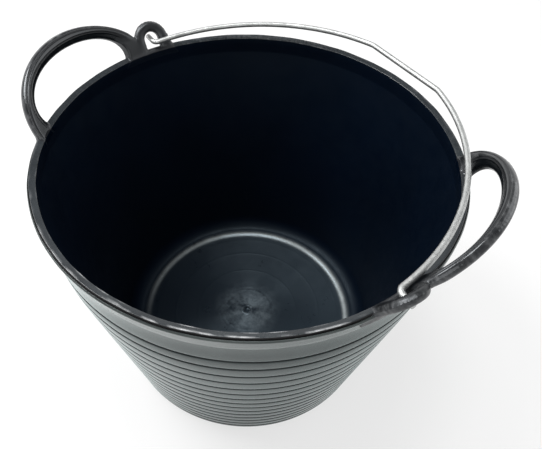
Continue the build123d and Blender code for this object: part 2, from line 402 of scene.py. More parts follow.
# %% Make the bowl
def per_point(rows, columns):
    """One number per row, or per row and column, laid out as the points of closed rings are."""
    full = np.broadcast_to(rows, (rows.shape[0], columns))
    return np.concatenate([full[:1, 0], full[1:-1].ravel(), full[-1:, 0]])


bowl_marks = {name: per_point(rows, bowl_columns) for name, rows in bowl_marks.items()}
bowl = put_piece("bucket_bowl", bowl_points, bowl_faces, bowl_marks)
floor_stop = np.flatnonzero((bowl_zone == heel_zone) & (bowl_line[:, 0] > bead_radius + 4.5))[0]
lip_start = np.flatnonzero((bowl_zone == rim_zone) & (bowl_line[:, 1] > rim_height - 1.0))[0]
lip_stop = np.flatnonzero((in_channel & on_rim)[:, 0])[-1]
collar_stop = np.flatnonzero(bowl_zone == rim_zone)[-1] + 1
face_row = np.repeat(np.arange(1, len(bowl_line) - 2), bowl_columns)
face_row = np.concatenate([face_row, np.zeros(bowl_columns), np.full(bowl_columns, len(bowl_line))])
stretch_number = np.searchsorted([floor_stop, lip_start, lip_stop, collar_stop], face_row, side="right")
face_rubber = np.array([3, 0, 2, 4, 1], np.int32)[stretch_number]
bowl.data.polygons.foreach_set("material_index", face_rubber)
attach(bowl, "bucket")
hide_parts("bucket_wall", "bucket_floor", "rim_collar")
print("faces of each rubber", np.bincount(face_rubber))

# %% [markdown]
# ## The loop handles and ears
#
# Each handle and its ear are cut from one flange, which leans out from the lip like part of a cone. The
# outlines could be drawn as curves and extruded, but the real roots flow into each other and into the lip,
# and booleans leave hard seams there. So the flange is described by its distance: a formula that says for
# any point how far it lies outside the rubber, below zero inside. Distances blend: where two shapes come
# near each other, a smooth least of both grows a soft fillet. The points are given in the flange's own
# coordinates: along the rim, up the slope, and through the thickness.

# %% Flange sizes and its slope
flange_tilt, flange_thickness, flange_round = np.radians(59.5), 8.3, 3.2
slope_sin, slope_cos = np.sin(flange_tilt), np.cos(flange_tilt)
flange_radius = lip_inner_radius + flange_thickness / 2 / slope_sin
handle_half_width, handle_reach = 77.3, 48.7
opening_half_width, opening_reach, opening_rise = 59.0, 35.6, 3.7
handle_foot = (flange_radius - np.sqrt(flange_radius**2 - handle_half_width**2)) * slope_cos
hinge_height, ear_angle = 8.8, np.radians(-28.5)
ear_radius, ear_skirt, ear_web_reach, ear_web_run = 17.2, 3.2, 13.1, 34.0
ear_hole_radius, ear_hole_foot = 7.3, 1.4
skirt_fillet, web_fillet, loop_fillet = 3.0, 5.0, 2.0
ear_centre = hinge_height / slope_sin


def on_slope(along, up, through, middle):
    """Where a point of the flange lies on the flat slope at this angle: x along the rim, y up the slope.
    Its radius and height come back too."""
    radius = flange_radius + up * slope_cos + through * slope_sin
    height = rim_height + up * slope_sin - through * slope_cos
    turn = along / flange_radius - middle
    y = (radius * np.cos(turn) - flange_radius) * slope_cos + (height - rim_height) * slope_sin
    return radius * np.sin(turn), y, radius, height


print("flange at radius", round(flange_radius, 2), "mm, ear hole", round(ear_centre, 2), "up the slope")

# %% [markdown]
# Seen square to the slope, the loop is an ellipse with a smaller ellipse cut out for the hand. The ear is a
# round ring on a skirt, with a low web that runs across to the handle. Each is a distance of its own, and
# the smooth least joins them.

# %% Outlines of handle and ear
def smooth_least(a, b, reach):
    """The lesser of two distances, with a soft fillet where they differ by less than the reach."""
    mix = np.clip(reach - np.abs(a - b), 0, None) / reach
    return np.minimum(a, b) - mix**2 * reach / 4


def ellipse_gap(x, y, half_width, half_height):
    """Distance to an ellipse, close to exact near its edge: the scaled radius less 1, over its slope."""
    scaled = np.hypot(x / half_width, y / half_height) + 1e-9
    slope = np.hypot(x / half_width**2, y / half_height**2) + 1e-9
    return scaled * (scaled - 1) / slope


def most(*distances):
    """The greatest of several distances: the shape that lies inside all of them."""
    return np.maximum.reduce(distances)


def outlines(along, up, through):
    """Distances to the outer outline, the hand opening, the ear's hole and the ear alone, seen square to
    the slope. The outer outline is the smooth least of the loop's ellipse and the ear, which is itself a
    smooth least of a round top, a skirt that flares to the rim, and the web that runs to the handle."""
    x, y, _, _ = on_slope(along, up, through, 0.0)
    loop = ellipse_gap(x, y + handle_foot, handle_half_width, handle_reach + handle_foot)
    opening = ellipse_gap(x, y - opening_rise, opening_half_width, opening_reach - opening_rise)
    x, y, _, _ = on_slope(along, up, through, ear_angle)
    top = np.hypot(x, y - ear_centre) - ear_radius
    flare = ear_radius + ear_skirt * (ear_centre - y) / ear_centre
    skirt = most(-x - flare, x, y - ear_centre)
    web = most(-x, x - ear_web_run, y - ear_web_reach)
    ear = smooth_least(smooth_least(top, skirt, skirt_fillet), web, web_fillet)
    round_hole = np.hypot(x, y - ear_centre) - ear_hole_radius
    low_hole = most(np.abs(x) - ear_hole_radius, ear_hole_foot - y, y - ear_centre)
    return smooth_least(loop, ear, loop_fillet), opening, np.minimum(round_hole, low_hole), ear


# %% [markdown]
# The face of the handle isn't flat. Beside the opening runs a bevel that sits a little lower than the main
# band, the band is slightly crowned, and a fine line sets off a bead along the outer edge. A thin ridge at
# half thickness is the mould's parting line, roughest round the ear, where flash was torn off. All of
# these only change how thick the flange is at a place, or how far out its edge lies.

# %% Relief of the flange
strip_width, strip_step, strip_fall = 5.0, 0.5, 1.8
edge_line, strip_line = 2.6, 5.5
crown_height, ear_fall, outer_bevel = 0.4, 1.3, 0.35


def on_handle(ear):
    """0 on the ear and 1 on the handle, from the distance to the ear, over six millimetres."""
    return np.clip((ear - 1) / 6, 0, 1)


def near_ear(ear):
    """1 on the ear, falling off as a bell over the nine millimetres round it."""
    return bell(np.clip(ear, 0, None) / 9)


def face_relief(edge, opening, hole, ear, inner_side):
    """How much lower than the plain face it lies: a step and slope on the bevel strip, fine lines inside
    the bead, less the crown of the band between them. The ear is a rounded ring: it falls off from half way
    between its hole and its edge."""
    strip = np.clip((strip_width - opening) / 0.7, 0, 1)
    bevel = strip * (strip_step + strip_fall * np.clip(1 - opening / strip_width, 0, 1))
    line = 0.7 * bell((edge + edge_line) / 0.7) + 0.4 * bell((opening - strip_line) / 0.6)
    band = np.maximum(opening - strip_width - edge - edge_line, 0.1)
    crown = crown_height * np.sin(np.pi * np.clip((opening - strip_width) / band, 0, 1))
    ring = np.clip(hole / np.maximum(hole - edge, 0.1), 0, 1)
    fall = ear_fall * (1 - np.sin(np.pi * ring)) * (1 - on_handle(ear))
    face = np.where(inner_side, bevel + line - crown, outer_bevel * bevel - crown)
    return on_handle(ear) * face + fall


def flash(along, up, phase):
    """Uneven trimming of the edge: a product of waves a few millimetres long, plus a finer wave."""
    slow = np.sin(along * 0.83 + phase) * np.sin(along * 0.37 + up * 0.51 - phase)
    return slow + np.sin(along * 1.9 + up * 1.3)


# %% [markdown]
# The roots of the flange have to grow out of the lip without a seam. A band that follows the lip and the
# collar lies just under the bowl's skin, out of sight, and the flange is blended with it: only the fillet
# between them comes through the skin.

# %% Distance of the flange
flange_middle, flange_half_run = -16.0, 103.0
opening_round, hole_round, root_blend = 1.7, 1.5, 2.6
root_bottom = rim_height - 7.5
parting_spread, parting_height, plain_flash, ear_flash = 0.75, 0.25, 0.04, 0.07
inner_cover, top_cover, outer_cover, collar_cover, shoulder_cover = 0.5, 0.55, 0.5, 0.35, 0.4
skin_cover, skin_slope = 0.45, 0.33


def rounded_plate(edge, through, half, rounding):
    """Distance of a plate with this outline and half thickness, its edges rounded."""
    a = edge + rounding
    b = np.abs(through) - half + rounding
    return np.hypot(np.maximum(a, 0), np.maximum(b, 0)) + np.minimum(np.maximum(a, b), 0) - rounding


def flange_gap(along, up, through, phase):
    """Distance of handle, ear and their roots: the plate within the outer outline, less opening and hole,
    cut off inside the lip, then blended with a band that lies just under the skin of the bowl's rim."""
    edge, opening, hole, ear = outlines(along, up, through)
    _, _, radius, height = on_slope(along, up, through, 0.0)
    parting = bell(through / parting_spread)
    torn = (plain_flash + ear_flash * near_ear(ear)) * np.clip((up - 7) / 4, 0, 1)
    edge = edge - torn * flash(along, up, phase) * parting - parting_height * parting
    half = flange_thickness / 2 - face_relief(edge, opening, hole, ear, through < 0)
    under_lip = np.clip(rim_height - lip_inner_depth - height, 0, None)
    skin = lip_inner_radius + skin_cover + under_lip * skin_slope
    plate = most(
        rounded_plate(edge, through, half, flange_round),
        rounded_plate(-opening, through, half, opening_round),
        rounded_plate(-hole, through, half, hole_round),
        skin - radius,
        root_bottom - height,
    )
    lip_top = rim_height + lip_crown * (radius - lip_inner_radius) / lip_width - top_cover
    lip_sides = lip_inner_radius + inner_cover - radius, radius - lip_outer_radius + outer_cover
    collar_sides = lip_outer_radius - 1 - radius, radius - collar_radius + collar_cover
    lip = most(*lip_sides, height - lip_top)
    collar = most(*collar_sides, height - shoulder + shoulder_cover)
    past_end = np.abs(along - flange_middle) - flange_half_run
    band = most(np.minimum(lip, collar), root_bottom - height, past_end)
    return smooth_least(plate, band, root_blend)


# %% [markdown]
# A distance becomes a mesh by a surface net: space is cut into small cells, each cell that the surface
# crosses gets one point, and the four cells round each crossed cell edge are joined by a quad. A few steps
# down the slope of the distance then put every point exactly on the surface. All cells are handled at once
# as arrays. Blender's Remesh would do this too, but it rounds off the fine lines.

# %% Points of the net
def net_step(gap, points, reach=0.02):
    """The move that brings points onto the surface: the distance there along its slope, found from
    differences a fiftieth of a millimetre each way."""
    here = gap(*points.T)
    slope = [(gap(*(points + d).T) - gap(*(points - d).T)) / (2 * reach) for d in np.eye(3) * reach]
    slope = np.stack(slope, 1)
    steep = np.maximum((slope**2).sum(1), 0.25)
    return np.clip(0.9 * here / steep, -0.3, 0.3)[:, None] * slope


def net_points(grid, value, cell):
    """The mean of the places where the surface crosses each cell's edges, and how many edges it crosses."""
    cells = tuple(n - 1 for n in value.shape)
    inside, place, count = value < 0, np.zeros(cells + (3,)), np.zeros(cells)
    for axis in range(3):
        across = [k for k in range(3) if k != axis]
        for shift in ((0, 0), (0, 1), (1, 0), (1, 1)):
            start = np.zeros(3, int)
            start[across] = shift
            low = tuple(slice(s, s + n) for s, n in zip(start, cells))
            start[axis] += 1
            high = tuple(slice(s, s + n) for s, n in zip(start, cells))
            crossed = inside[low] != inside[high]
            share = np.where(crossed, value[low] / np.where(crossed, value[low] - value[high], 1), 0)
            for k in range(3):
                spot = grid[k][low] + (share * cell if k == axis else 0)
                place[..., k] += np.where(crossed, spot, 0)
            count += crossed
    return place / np.maximum(count, 1)[..., None], count


# %% Surface net
net_cell = 0.56


def surface_net(gap, lows, highs, cell):
    """Points and quads where gap(a, b, c) is zero, on a regular grid between the two corners."""
    axes = [np.arange(low, high + cell, cell) for low, high in zip(lows, highs)]
    grid = np.meshgrid(*axes, indexing="ij")
    value = gap(*grid)
    place, count = net_points(grid, value, cell)
    used = count > 0
    number = np.full(used.shape, -1)
    number[used] = np.arange(used.sum())
    points, quads = place[used], []
    for axis in range(3):
        side = np.moveaxis(value < 0, axis, 0)
        ids = np.moveaxis(number, axis, 0)
        i, j, k = np.nonzero(side[:-1, 1:-1, 1:-1] != side[1:, 1:-1, 1:-1])
        quad = np.stack([ids[i, j, k], ids[i, j + 1, k], ids[i, j + 1, k + 1], ids[i, j, k + 1]], 1)
        keep = side[i, j + 1, k + 1] ^ (axis == 1)
        quads.append(np.where(keep[:, None], quad, quad[:, ::-1]))
    for _ in range(5):
        points -= net_step(gap, points)
    return points, np.concatenate(quads)


# %% [markdown]
# The rear flange is the front one turned half round about Z. It could be a linked copy, but no two edges
# are trimmed alike, so it is made anew with other flash. The same distances say where the rubber is gripped,
# rubbed, lined and dull.

# %% Make both flanges
net_lows = (flange_middle - flange_half_run - 2.3, -12.2, -7.15)
net_highs = (flange_middle + flange_half_run + 2, 51.5, 7.0)


def flange_marks(points, radius, height, phase):
    """Numbers per point for the handle's rubber, from the distances to its outlines."""
    along, up, through = points.T
    edge, opening, _, ear = outlines(along, up, through)
    lines = np.minimum(np.abs(edge + edge_line), np.abs(opening - strip_line))
    root = np.clip((rim_height + 4 - height) / 4, 0, 1) * np.clip(height - rim_height + 0.8, 0, 1)
    return {
        "edge_wear_and_highlight": bell((edge + 0.6) / 1.6) * (0.5 + 0.5 * flash(along * 0.3, up, phase)),
        "strip_shade": np.clip((strip_width + 0.2 - opening) / 0.8, 0, 1) * on_handle(ear) * (through < 1),
        "line_shade": bell(lines / 0.7) * on_handle(ear) * (through < 0),
        "ear_dull": near_ear(ear),
        "grip_film": np.clip((edge + 2.2) / 1.8, 0, 1) * on_handle(ear),
        "root_film": root,
        "inside_shade": np.clip(rim_height + 0.2 - height, 0, 1) * (radius < lip_inner_radius + 2),
    }


def make_flange(name, half_turn, phase, nodes):
    """Surface net of the flange, carried from the flange's coordinates to the bucket's."""
    points, quads = surface_net(lambda a, b, c: flange_gap(a, b, c, phase), net_lows, net_highs, net_cell)
    _, _, radius, height = on_slope(*points.T, 0.0)
    turn = points[:, 0] / flange_radius + np.pi * half_turn
    spots = np.stack([radius * np.cos(turn), radius * np.sin(turn), height], 1)
    piece = put_piece(name, spots, quads.tolist(), flange_marks(points, radius, height, phase))
    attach(piece, "bucket")
    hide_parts(*nodes)
    return piece


flange_front = make_flange("handle_and_ear_front", 0, 0.4, ("side_handle_front", "bail_ear_front"))
flange_rear = make_flange("handle_and_ear_rear", 1, 2.9, ("side_handle_rear", "bail_ear_rear"))

# %% [markdown]
# ## The bail
#
# The bail is one galvanised wire, bent in a plane: a straight grip, two long legs that follow the rim, and
# short stubs that pass through the ears. A bevelled curve would do, but a circle carried along a computed
# line of arcs bends exactly where the CAD wire bends. Each small corner arc touches its two neighbours.
# Where it touches the leg from outside, its middle lies at the sum of both radii from the leg's middle, and
# where it touches from inside, at the difference.

# %% Line of the bail, in its own plane
wire_radius, rest_tilt, bail_clearance, stub_past = 2.5, np.radians(4.4), 0.4, 2.0
leg_radius, half_grip, elbow_radius, bend_radius = 184.0, 42.5, 5.0, 12.0
grip_reach = lip_inner_radius - 2.7
leg_height = hinge_height + ear_hole_radius * np.sin(rest_tilt)
leg_gap = flange_thickness / 2 + wire_radius + bail_clearance
half_span = flange_radius + (leg_height * slope_cos - leg_gap) / slope_sin
stub_end = flange_radius + ear_centre * slope_cos + flange_thickness / 2 / slope_sin + stub_past

leg_ends = np.array([[half_span, 0.0], [half_grip, grip_reach]])
chord = leg_ends[1] - leg_ends[0]
chord_length = np.hypot(*chord)
outward = np.array([chord[1], -chord[0]]) / chord_length
leg_middle = leg_ends.mean(0) - outward * np.sqrt(leg_radius**2 - chord_length**2 / 4)


def touching(reach, height):
    """Middle of a corner arc at this height, as far from the leg's middle as the reach, and the angle it
    lies at from there: the third side of a right-angled triangle."""
    rise = height - leg_middle[1]
    run = np.sqrt(reach**2 - rise**2)
    return np.array([leg_middle[0] + run, height]), np.arctan2(rise, run)


elbow_middle, elbow_turn = touching(leg_radius + elbow_radius, elbow_radius)
bend_middle, bend_turn = touching(leg_radius - bend_radius, grip_reach - bend_radius)
half_line = np.concatenate(
    [
        np.linspace([stub_end, 0], [elbow_middle[0], 0], 6)[:-1],
        arc(elbow_middle, elbow_radius, -np.pi / 2, elbow_turn - np.pi, 9)[:-1],
        arc(leg_middle, leg_radius, elbow_turn, bend_turn, 70)[:-1],
        arc(bend_middle, bend_radius, bend_turn, np.pi / 2, 12)[:-1],
        np.linspace([bend_middle[0], grip_reach], [0, grip_reach], 14),
    ]
)
bail_line = np.concatenate([half_line, half_line[-2::-1] * [-1, 1]])
print("bail length", round(run_along(bail_line)[-1], 1), "mm")

# %% [markdown]
# The wire's circle is carried along that line. The first and last rings shrink to a point, so the cut ends
# are closed and slightly rounded, as a cropped wire is. How far a point lies along the wire is kept as an
# attribute, so the zinc's streaks can follow the wire round its bends.

# %% Carry the circle along the line
wire_columns, wire_end = 24, 0.8


def wire_surface(line, radius, columns):
    """At each station a circle in the plane of the bail's normal and the line's own normal, given as places
    in the bail's plane and heights over it. Rings added at both ends follow a quarter ellipse down to the
    middle. The run along the wire comes back too."""
    ahead = unit(np.gradient(line, axis=0))
    cap = np.linspace(0, np.pi / 2, 5)[1:, None]
    front = line[0] - ahead[0] * wire_end * np.sin(cap[::-1])
    back = line[-1] + ahead[-1] * wire_end * np.sin(cap)
    stations = np.concatenate([front, line, back])
    sizes = np.concatenate([np.cos(cap[::-1]), np.ones((len(line), 1)), np.cos(cap)]) * radius
    ahead = np.concatenate([np.repeat(ahead[:1], len(cap), 0), ahead, np.repeat(ahead[-1:], len(cap), 0)])
    turn = np.arange(columns) * 2 * np.pi / columns
    side = np.stack([-ahead[:, 1], ahead[:, 0]], 1)
    flat = stations[:, None] + (sizes * np.cos(turn))[..., None] * side[:, None]
    return flat, sizes * np.sin(turn), run_along(stations)


wire_flat, wire_lift, wire_run = wire_surface(bail_line, wire_radius, wire_columns)
hinge_out = np.array([np.cos(ear_angle), np.sin(ear_angle), 0])
hinge_side = np.array([-hinge_out[1], hinge_out[0], 0])
bail_ahead = hinge_side * np.cos(rest_tilt) + np.array([0, 0, np.sin(rest_tilt)])
bail_normal = np.cross(hinge_out, bail_ahead)
wire_rings = wire_flat[..., :1] * hinge_out + wire_flat[..., 1:] * bail_ahead
wire_rings += wire_lift[..., None] * bail_normal
wire_rings[..., 2] += rim_height + hinge_height
wire_points, wire_faces = closed_rings(wire_rings, True)
wire_marks = {"wire_run": per_point(wire_run[:, None] * MM, wire_columns)}
bail = put_piece("wire_bail", wire_points, wire_faces, wire_marks)
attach(bail, "bail")
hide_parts("bail_wire")

# %% [markdown]
# ## Finishes
#
# A material is a tree of nodes. Made and linked one by one they fill pages, so a small class gives short
# names to the few kinds that are used here: noise for clouds and grain, attributes for where dust, wear and
# grooves are, spans that turn a noise into a share, and blends of two colours by a share. Whatever is the
# same all over a surface is set on the shader's own socket.

# %% Node helpers
class Finish:
    """The nodes of a material or a sky. A value is a socket, which is linked, or a plain number or colour,
    which is set."""

    def __init__(self, owner):
        owner.use_nodes = True
        self.owner, self.tree = owner, owner.node_tree
        self.tree.nodes.clear()

    def new(self, kind, sockets=None, **settings):
        """A node of this kind with its settings made and its sockets linked or set."""
        node = self.tree.nodes.new("ShaderNode" + kind)
        for name, value in settings.items():
            setattr(node, name, value)
        for name, value in (sockets or {}).items():
            if isinstance(value, bpy.types.NodeSocket):
                self.tree.links.new(value, node.inputs[name])
            elif node.inputs[name].type == "RGBA":
                node.inputs[name].default_value = (*value, 1)
            else:
                node.inputs[name].default_value = value
        return node

    def noise(self, scale, detail, stretch=(1, 1, 1), rough=0.5):
        """Noise on Object coordinates: scale is lumps per metre, stretched along the axes."""
        place = self.new("TexCoord").outputs["Object"]
        spot = self.new("Mapping", {"Vector": place, "Scale": stretch}).outputs[0]
        sockets = {"Vector": spot, "Scale": scale, "Detail": detail, "Roughness": rough}
        return self.new("TexNoise", sockets).outputs[0]

    def mark(self, name):
        """The value of a named attribute."""
        return self.new("Attribute", attribute_name=name).outputs["Fac"]

    def noise_along(self, name, scale, detail):
        """Noise that changes only with a named attribute, which is a run in metres."""
        run = self.new("CombineXYZ", {"X": self.mark(name)}).outputs[0]
        return self.new("TexNoise", {"Vector": run, "Scale": scale, "Detail": detail}).outputs[0]

    def span(self, value, low, high, to_low=0, to_high=1):
        """The value carried from one range to another, held at both ends."""
        return self.new("MapRange", dict(enumerate((value, low, high, to_low, to_high)))).outputs[0]

    def math(self, how, a, b):
        """Math of two values."""
        return self.new("Math", {0: a, 1: b}, operation=how).outputs[0]

    def add(self, a, b):
        """Sum of two values."""
        return self.math("ADD", a, b)

    def times(self, a, b):
        """Product of two values."""
        return self.math("MULTIPLY", a, b)

    def blend(self, share, a, b):
        """Colour a going to colour b by the share."""
        return self.new("Mix", {0: share, 6: a, 7: b}, data_type="RGBA").outputs[2]

    def bump(self, height, strength, depth=0.0002):
        """Normal of a bump that is as deep as the depth in metres."""
        return self.new("Bump", {"Height": height, "Strength": strength, "Distance": depth}).outputs[0]

    def put_on(self, *pieces, **sockets):
        """Ends a material in a Principled shader with these sockets, spaces written as underscores, and
        gives it to the pieces."""
        sockets = {name.replace("_", " "): value for name, value in sockets.items()}
        shader = self.new("BsdfPrincipled", sockets)
        self.new("OutputMaterial", {"Surface": shader.outputs[0]})
        for piece in pieces:
            piece.data.materials.append(self.owner)
        print(self.owner.name, "of", len(self.tree.nodes), "nodes on", [piece.name for piece in pieces])


def new_finish(name):
    """A new material, ready for its nodes."""
    return Finish(bpy.data.materials.new(name))


# %% [markdown]
# ### Rubber inside
#
# Inside, the bucket sees mostly itself and lies in shade. Its base is painted shade: almost black, far darker
# than the outside, with a painted faint blue cast in colour and gloss. A flat black would look cut out. Slow
# clouds between two near blacks, uneven satin and a fine grain keep it rubber.

# %% Rubber inside the bowl
# Painted shade: two near blacks and a blue cast, far darker than the outside rubber.
inner_painted_shade_blacks = (0.0006, 0.0025, 0.0072), (0.0010, 0.0036, 0.0100)
inner_painted_blue_cast = (0.70, 0.88, 1.0)
inner = new_finish("inner_rubber")
inner.put_on(
    bowl,
    Base_Color=inner.blend(inner.span(inner.noise(14, 4), 0.3, 0.7), *inner_painted_shade_blacks),
    Roughness=inner.span(inner.noise(70, 5, rough=0.65), 0.3, 0.7, 0.40, 0.52),
    IOR=1.28,
    Specular_Tint=inner_painted_blue_cast,
    Normal=inner.bump(inner.noise(650, 2), 0.12),
)

# %% [markdown]
# ### Rubber outside
#
# Outside, the rubber looks grey, because its skin mirrors the pale ground and a thin pale film lies on it.
# The film is broad upright clouds, fine upright brushing from the mould, and rubbing marks that run round
# the bucket. Seen at a slant it turns slightly green, which a tinted sheen gives on every side. Grooves and
# channel get painted shade: their attribute takes colour and gloss away.

# %% Rubber outside the bowl
# Black of the painted shade in the grooves, the channel and the handles' fine lines.
painted_shade_black = (0.003, 0.003, 0.004)
film_sheen = {"Sheen_Roughness": 0.4, "Sheen_Tint": (0.4, 1, 0.95)}


def outer_film(outer):
    """Share of pale film on the outside, 0 to 1, and the level rubbing marks in it."""
    upright = outer.noise(9, 4, (1, 1, 0.12))
    brushed = outer.noise(60, 3, (1, 1, 0.10))
    rubbed = outer.noise(22, 5, (0.5, 0.5, 14.0), 0.6)
    film = outer.add(outer.span(upright, 0.3, 0.7, 0, 0.45), outer.span(rubbed, 0.3, 0.7, 0, 0.25))
    return outer.add(film, outer.span(brushed, 0.3, 0.7, 0, 0.3)), rubbed


def outer_bump(outer, rubbed, strength):
    """Normal of a fine grain with the rubbing marks."""
    return outer.bump(outer.add(outer.times(outer.noise(650, 2), 0.3), rubbed), strength)


outer = new_finish("outer_rubber")
film, rubbed = outer_film(outer)
groove = outer.mark("groove_shade")
colour = outer.blend(outer.span(film, 0.2, 0.8), (0.006, 0.0078, 0.0081), (0.027, 0.0325, 0.033))
outer.put_on(
    bowl,
    Base_Color=outer.blend(groove, colour, painted_shade_black),
    Roughness=outer.add(outer.span(film, 0.2, 0.8, 0.09, 0.21), outer.times(groove, 0.5)),
    IOR=1.31,
    Sheen_Weight=0.1,
    **film_sheen,
    Specular_Tint=(0.90, 0.98, 1.0),
    Normal=outer_bump(outer, rubbed, 0.05),
)

# %% [markdown]
# ### Rubber of the lip
#
# The lip is handled most. Its edges are pale grey where the attribute says so, partly rubbed wear and partly
# painted highlight, and scuffs break the pale lengths up. Pointiness could find the edges, but it changes
# with the mesh and wears every edge alike, so the numbers on the points are used.

# %% Rubber of the lip
lip = new_finish("lip_rubber")
scuffs = lip.noise(150, 5, rough=0.65)
groove = lip.mark("groove_shade")
colour = lip.span(lip.noise(30, 4), 0.35, 0.65)
colour = lip.blend(colour, (0.012, 0.0155, 0.019), (0.022, 0.0275, 0.032))
# Pale lip edges: partly rubbed wear, partly painted highlight.
pale_edges = lip.times(lip.mark("edge_wear_and_highlight"), lip.span(scuffs, 0.35, 0.6, 0.35, 1.0))
colour = lip.blend(pale_edges, colour, (0.46, 0.47, 0.48))
lip.put_on(
    bowl,
    Base_Color=lip.blend(groove, colour, painted_shade_black),
    Roughness=lip.add(lip.span(scuffs, 0.3, 0.7, 0.2, 0.34), lip.times(groove, 0.5)),
    IOR=1.5,
    Normal=lip.bump(lip.add(lip.noise(800, 2), scuffs), 0.2),
)

# %% [markdown]
# ### Rubber of the floor
#
# Dust dulls the floor, more of it towards the lit side, where it paints the light, and lies in a mottled
# patch round the gate. The pale ring on the bead is dust with a painted highlight, brightest on one side. The
# mould's floor was turned on a lathe, so fine tool marks run round it, and a highlight on them spreads into a
# streak across them. Cut as shape they would need millions of faces. Anisotropic gloss along a tangent that
# runs round Z gives the streak, and noise over the radius gives the marks.

# %% Rubber of the floor
floor = new_finish("floor_rubber")
clouds, mottle = floor.noise(14, 4), floor.noise(70, 5, rough=0.65)
fine_mottle = floor.noise(190, 4, rough=0.6)
heel = floor.mark("bead_dust_and_highlight")
# Dust on the floor, paler on the lit side: real dust with painted light.
dust_and_painted_light = floor.times(floor.mark("floor_dust_and_painted_light"), floor.span(clouds, 0.3, 0.75, 0.45, 0.95))
blotch = floor.add(floor.span(mottle, 0.38, 0.62, 0, 0.6), floor.span(fine_mottle, 0.4, 0.6, 0, 0.4))
patch = floor.times(floor.mark("gate_dust"), blotch)
# Pale ring on the bead: dust with a painted highlight, and glossier there.
bead_dust_and_highlight_share = floor.times(heel, floor.span(mottle, 0.3, 0.7, 0.7, 1.0))
colour = floor.blend(floor.span(clouds, 0.3, 0.7), *inner_painted_shade_blacks)
colour = floor.blend(dust_and_painted_light, colour, (0.024, 0.034, 0.043))
colour = floor.blend(patch, colour, (0.105, 0.128, 0.145))
floor.put_on(
    bowl,
    Base_Color=floor.blend(bead_dust_and_highlight_share, colour, (0.50, 0.545, 0.55)),
    Roughness=floor.math("SUBTRACT", floor.span(mottle, 0.3, 0.7, 0.26, 0.38), floor.times(heel, 0.12)),
    IOR=1.45,
    Specular_Tint=inner_painted_blue_cast,
    Anisotropic=0.7,
    Anisotropic_Rotation=0.25,
    Tangent=floor.new("Tangent", direction_type="RADIAL", axis="Z").outputs[0],
    Normal=floor.bump(floor.add(floor.noise(650, 2), floor.noise_along("tool_run", 420, 3)), 0.15),
)

# %% [markdown]
# ### Rubber of the collar
#
# The collar stands proud of the wall, so it is rubbed all round: the same film as on the wall, with stronger
# level streaks, a paler base that is partly film and partly painted sheen, more gloss, and a painted
# highlight along its lower edge.

# %% Rubber of the collar
collar = new_finish("collar_rubber")
film, rubbed = outer_film(collar)
streaked = collar.add(collar.span(rubbed, 0.35, 0.65, 0, 0.7), collar.span(film, 0.3, 0.7, 0, 0.3))
# Paler base on the collar: partly rubbed film, partly painted sheen.
paler_film_and_sheen = collar.times(collar.mark("collar_film_and_sheen"), streaked)
colour = collar.blend(streaked, (0.006, 0.0080, 0.0080), (0.048, 0.057, 0.056))
colour = collar.blend(paler_film_and_sheen, colour, (0.050, 0.058, 0.056))
# Pale line along the collar's lower edge: a painted highlight.
colour = collar.blend(collar.mark("edge_wear_and_highlight"), colour, (0.34, 0.37, 0.365))
collar.put_on(
    bowl,
    Base_Color=collar.blend(collar.mark("groove_shade"), colour, painted_shade_black),
    Roughness=collar.span(streaked, 0.1, 0.9, 0.12, 0.24),
    IOR=1.48,
    Specular_Tint=(0.92, 0.99, 1.0),
    Sheen_Weight=0.06,
    **film_sheen,
    Normal=outer_bump(collar, rubbed, 0.06),
)

# %% [markdown]
# ### Rubber of the handles
#
# Hands polish the handles, so their black is deep and glossy. The bevel strip and the fine lines get painted
# shade, the gripped outer edge is greyer, the parting ridge is scuffed pale, and the ears are dull. Inside
# the lip the root takes the bowl's painted-shade black, so it doesn't show there as a patch.

# %% Rubber of the handles
handle = new_finish("handle_rubber")
scuffs = handle.noise(120, 5, rough=0.65)
line_shade = handle.mark("line_shade")
clouds = handle.noise(30, 4)
gripped = handle.times(handle.mark("grip_film"), handle.span(clouds, 0.35, 0.65, 0.2, 1.0))
wear = handle.times(handle.mark("edge_wear_and_highlight"), handle.span(scuffs, 0.45, 0.7, 0, 0.5))
colour = handle.blend(handle.span(clouds, 0.35, 0.65), (0.004, 0.0046, 0.0055), (0.010, 0.011, 0.0125))
# Strip, lines and the root inside the lip get painted shade. Grip, wear and film are the rubber's own.
for share, tone in (
    (handle.mark("strip_shade"), (0.004, 0.005, 0.006)),
    (line_shade, painted_shade_black),
    (gripped, (0.024, 0.025, 0.027)),
    (wear, (0.17, 0.175, 0.18)),
    (handle.mark("root_film"), (0.022, 0.023, 0.026)),
    (handle.mark("inside_shade"), (0.0008, 0.003, 0.008)),
):
    colour = handle.blend(share, colour, tone)
satin = handle.add(handle.span(scuffs, 0.3, 0.7, 0.11, 0.21), handle.times(handle.mark("ear_dull"), 0.2))
handle.put_on(
    flange_front,
    flange_rear,
    Base_Color=colour,
    Roughness=handle.add(satin, handle.times(line_shade, 0.4)),
    IOR=1.55,
    Specular_Tint=(0.92, 0.96, 1.0),
    Normal=handle.bump(handle.noise(800, 2), 0.12),
)

# %% [markdown]
# ### Galvanised wire
#
# Drawn wire dipped in zinc is a dull bright metal: streaks run along it from the drawing, and patches of
# white rust and rubbed spots change its gloss every centimetre or so. A metal shader with uneven roughness
# does this, with the streaks stretched along the wire by the attribute that runs with it.

